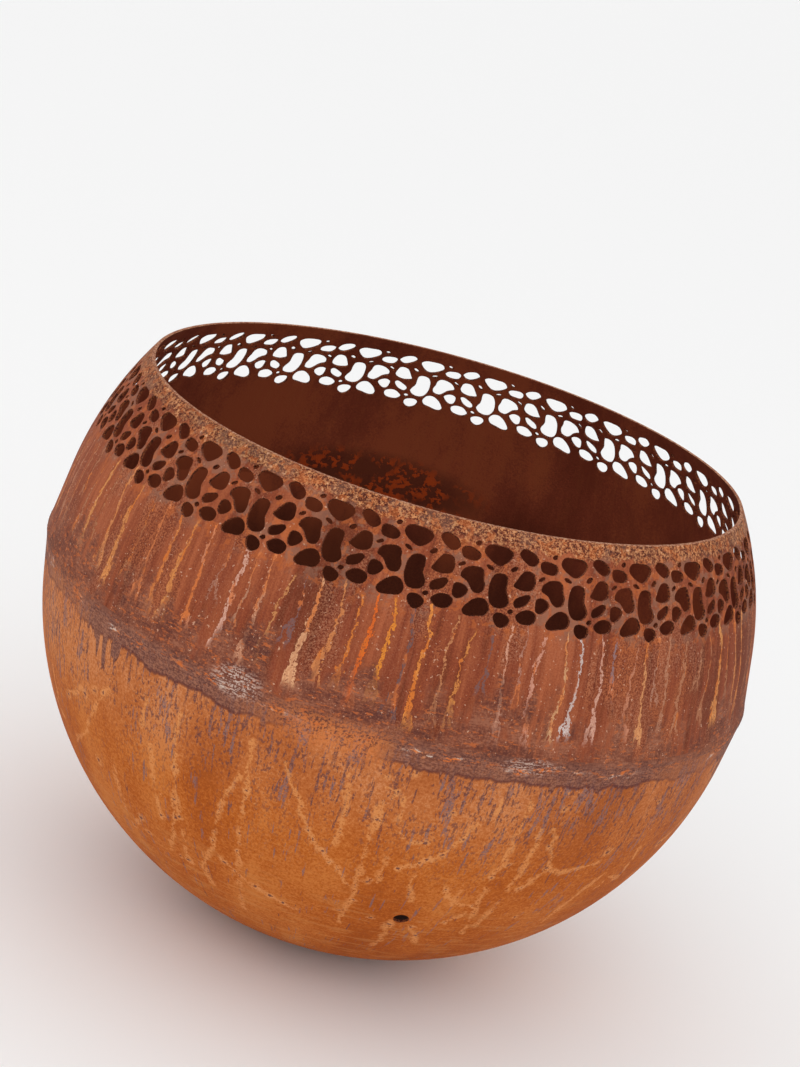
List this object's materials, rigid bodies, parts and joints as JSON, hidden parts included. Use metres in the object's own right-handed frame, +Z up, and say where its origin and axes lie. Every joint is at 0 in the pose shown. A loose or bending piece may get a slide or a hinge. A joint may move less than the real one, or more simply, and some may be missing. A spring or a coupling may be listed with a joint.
{
  "type": "globe fire pit",
  "caption": "Rusted steel globe fire pit: a pressed bowl under a band cut with a pebble pattern, a wide open mouth, and a round fire grate that lifts out.",
  "frame": {"origin": "middle of the underside of the base ring, where the bowl's axis meets the ground", "axes": "+Z up along the globe's axis, out of the mouth; -Y is the front, +X is to the right of it; the grate's bars run along X"},
  "size_m": [0.6063, 0.6064, 0.4551],
  "materials": {
    "bowl_rust": "matt orange rust, streaked and pitted",
    "band_rust": "matt red-brown rust with pale and orange runs",
    "weld_rust": "ground weld bead, purple-brown rust",
    "ring_rust": "matt dark rust",
    "lug_rust": "matt dark red-brown rust",
    "grate_iron": "fire-darkened, thinly rusted steel"
  },
  "bodies": {
    "bowl": {"lower_bowl": "bowl_rust", "pebble_band": "band_rust", "seam_weld": "weld_rust", "base_ring": "ring_rust", "grate_lug_1": "lug_rust", "grate_lug_2": "lug_rust", "grate_lug_3": "lug_rust", "grate_lug_4": "lug_rust"},
    "grate": {"grate_hoop": "grate_iron", "grate_bearer_left": "grate_iron", "grate_bearer_right": "grate_iron", "grate_bar_1": "grate_iron", "grate_bar_2": "grate_iron", "grate_bar_3": "grate_iron", "grate_bar_4": "grate_iron", "grate_bar_5": "grate_iron", "grate_bar_6": "grate_iron", "grate_bar_7": "grate_iron", "grate_bar_8": "grate_iron", "grate_bar_9": "grate_iron", "grate_bar_10": "grate_iron", "grate_bar_11": "grate_iron", "grate_bar_12": "grate_iron", "grate_bar_13": "grate_iron", "grate_bar_14": "grate_iron", "grate_bar_15": "grate_iron", "grate_handle_left": "grate_iron", "grate_handle_right": "grate_iron"}
  },
  "joints": [
    {"name": "grate_lift", "type": "slide", "parent": "bowl", "child": "grate", "axis": [0, 0, 1], "range_m": [0, 0.34]}
  ]
}
